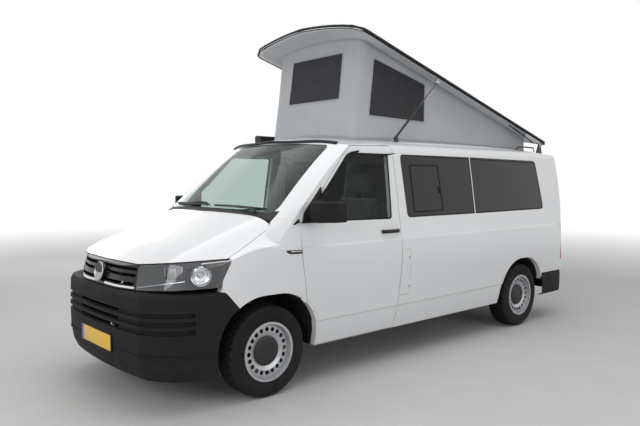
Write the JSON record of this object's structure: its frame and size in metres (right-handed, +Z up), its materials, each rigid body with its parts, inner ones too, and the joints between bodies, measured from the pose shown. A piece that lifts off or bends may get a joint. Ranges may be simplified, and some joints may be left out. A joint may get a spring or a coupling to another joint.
{
  "type": "camper van",
  "caption": "Long-wheelbase van with a raised pop-up roof tent, opening doors, bonnet, tailgate and steered wheels.",
  "frame": {"origin": "on the ground below the middle of the length and width", "axes": "+X to the vehicle's left, +Y to the rear, +Z up"},
  "size_m": [2.296, 5.3027, 2.9675],
  "materials": {
    "body_paint": "gloss",
    "bumper_plastic": "textured",
    "underbody": "matte",
    "grille_plastic": "gloss",
    "lamp_lens": "clear",
    "lamp_housing": "satin",
    "tail_lens": "gloss",
    "clear_glass": "clear",
    "dark_glass": "gloss",
    "trim_plastic": "matte",
    "seat_fabric": "woven",
    "cupboard_board": "satin",
    "awning_case": "satin",
    "black_steel": "satin",
    "canvas": "woven",
    "cast_metal": "cast",
    "exhaust_steel": "satin",
    "tank_plastic": "matte",
    "tyre_rubber": "matte",
    "wheel_steel": "satin",
    "shell_plastic": "satin",
    "rod_steel": "polished"
  },
  "bodies": {
    "chassis": {"floor_pan": "underbody", "front_structure": "underbody", "scuttle": "trim_plastic", "side_panel_left": "body_paint", "side_panel_right": "body_paint", "roof_panel": "body_paint", "front_wings": "body_paint", "front_bumper": "bumper_plastic", "rear_bumper": "bumper_plastic", "grille": "grille_plastic", "headlamps": "lamp_housing", "headlamp_lenses": "lamp_lens", "tail_lamps": "tail_lens", "windscreen": "clear_glass", "side_windows": "dark_glass", "sliding_door": "body_paint", "dashboard": "trim_plastic", "seats": "seat_fabric", "kitchen_unit": "cupboard_board", "awning": "awning_case", "roof_brackets": "black_steel", "tent": "canvas", "front_suspension": "black_steel", "rear_axle": "black_steel", "exhaust": "exhaust_steel", "engine_block": "cast_metal", "fuel_tank": "tank_plastic"},
    "bonnet": {"bonnet": "body_paint"},
    "tailgate": {"tailgate": "body_paint", "tailgate_glass": "dark_glass"},
    "pop_roof": {"pop_roof": "shell_plastic"},
    "fuel_flap": {"fuel_flap": "body_paint"},
    "steering_wheel": {"steering_wheel": "trim_plastic"},
    "door_left": {"front_door_left": "body_paint", "door_glass_left": "clear_glass", "door_trim_left": "trim_plastic"},
    "knuckle_left": {"knuckle_left": "cast_metal"},
    "strut_tube_left": {"strut_tube_left": "black_steel"},
    "strut_rod_left": {"strut_rod_left": "rod_steel"},
    "wheel_front_left": {"tyre_front_left": "tyre_rubber", "rim_front_left": "wheel_steel"},
    "wheel_rear_left": {"tyre_rear_left": "tyre_rubber", "rim_rear_left": "wheel_steel"},
    "door_right": {"front_door_right": "body_paint", "door_glass_right": "clear_glass", "door_trim_right": "trim_plastic"},
    "knuckle_right": {"knuckle_right": "cast_metal"},
    "strut_tube_right": {"strut_tube_right": "black_steel"},
    "strut_rod_right": {"strut_rod_right": "rod_steel"},
    "wheel_front_right": {"tyre_front_right": "tyre_rubber", "rim_front_right": "wheel_steel"},
    "wheel_rear_right": {"tyre_rear_right": "tyre_rubber", "rim_rear_right": "wheel_steel"}
  },
  "joints": [
    {"name": "steer_left", "type": "hinge", "parent": "chassis", "child": "knuckle_left", "pos_m": [0.745, -1.744, 0.215], "axis": [-0.2109, 0, 0.9775], "range_deg": [-33, 33]},
    {"name": "steer_right", "type": "hinge", "parent": "chassis", "child": "knuckle_right", "pos_m": [-0.745, -1.744, 0.215], "axis": [0.2109, 0, 0.9775], "range_deg": [-33, 33]},
    {"name": "steering_wheel_turn", "type": "hinge", "parent": "chassis", "child": "steering_wheel", "pos_m": [0.395, -1.047, 1.18], "axis": [0, 0.766, 0.6428], "range_deg": [-528.5, 528.5]},
    {"name": "wheel_front_left_spin", "type": "hinge", "parent": "knuckle_left", "child": "wheel_front_left", "pos_m": [0.814, -1.744, 0.3365], "axis": [1, 0, 0], "continuous": true},
    {"name": "wheel_rear_left_spin", "type": "hinge", "parent": "chassis", "child": "wheel_rear_left", "pos_m": [0.814, 1.656, 0.3365], "axis": [1, 0, 0], "continuous": true},
    {"name": "door_left_hinge", "type": "hinge", "parent": "chassis", "child": "door_left", "pos_m": [0.945, -1.463, 0.8], "axis": [0, 0, -1], "range_deg": [0, 65]},
    {"name": "wheel_front_right_spin", "type": "hinge", "parent": "knuckle_right", "child": "wheel_front_right", "pos_m": [-0.814, -1.744, 0.3365], "axis": [1, 0, 0], "continuous": true},
    {"name": "wheel_rear_right_spin", "type": "hinge", "parent": "chassis", "child": "wheel_rear_right", "pos_m": [-0.814, 1.656, 0.3365], "axis": [1, 0, 0], "continuous": true},
    {"name": "door_right_hinge", "type": "hinge", "parent": "chassis", "child": "door_right", "pos_m": [-0.945, -1.463, 0.8], "axis": [0, 0, 1], "range_deg": [0, 65]},
    {"name": "bonnet_hinge", "type": "hinge", "parent": "chassis", "child": "bonnet", "pos_m": [0, -1.652, 1.312], "axis": [-1, 0, 0], "range_deg": [0, 50]},
    {"name": "tailgate_hinge", "type": "hinge", "parent": "chassis", "child": "tailgate", "pos_m": [0, 2.516, 1.884], "axis": [1, 0, 0], "range_deg": [0, 85]},
    {"name": "fuel_flap_hinge", "type": "hinge", "parent": "chassis", "child": "fuel_flap", "pos_m": [0.948, -0.232, 0.8], "axis": [0, 0, 1], "range_deg": [0, 80]},
    {"name": "roof_hinge", "type": "hinge", "parent": "chassis", "child": "pop_roof", "pos_m": [0, 2.388, 1.978], "axis": [-1, 0, 0], "range_deg": [-15.4, 0], "deforming": ["tent"]},
    {"name": "strut_left_tilt", "type": "hinge", "parent": "chassis", "child": "strut_tube_left", "pos_m": [0.7, -0.162, 1.952], "axis": [1, 0, 0], "range_deg": [-39.9, 0]},
    {"name": "strut_left_slide", "type": "slide", "parent": "strut_tube_left", "child": "strut_rod_left", "axis": [0, 0.7303, 0.6832], "range_m": [-0.29669, 0]},
    {"name": "strut_right_tilt", "type": "hinge", "parent": "chassis", "child": "strut_tube_right", "pos_m": [-0.7, -0.162, 1.952], "axis": [1, 0, 0], "range_deg": [-39.9, 0]},
    {"name": "strut_right_slide", "type": "slide", "parent": "strut_tube_right", "child": "strut_rod_right", "axis": [0, 0.7303, 0.6832], "range_m": [-0.29669, 0]}
  ],
  "couplings": [
    {"joint": "steer_right", "follows": "steer_left", "ratio": 1},
    {"joint": "steering_wheel_turn", "follows": "steer_left", "ratio": 16},
    {"joint": "strut_left_tilt", "follows": "roof_hinge", "ratio": 2.5877},
    {"joint": "strut_left_slide", "follows": "roof_hinge", "m_per_rad": 1.102},
    {"joint": "strut_right_tilt", "follows": "roof_hinge", "ratio": 2.5877},
    {"joint": "strut_right_slide", "follows": "roof_hinge", "m_per_rad": 1.102}
  ]
}
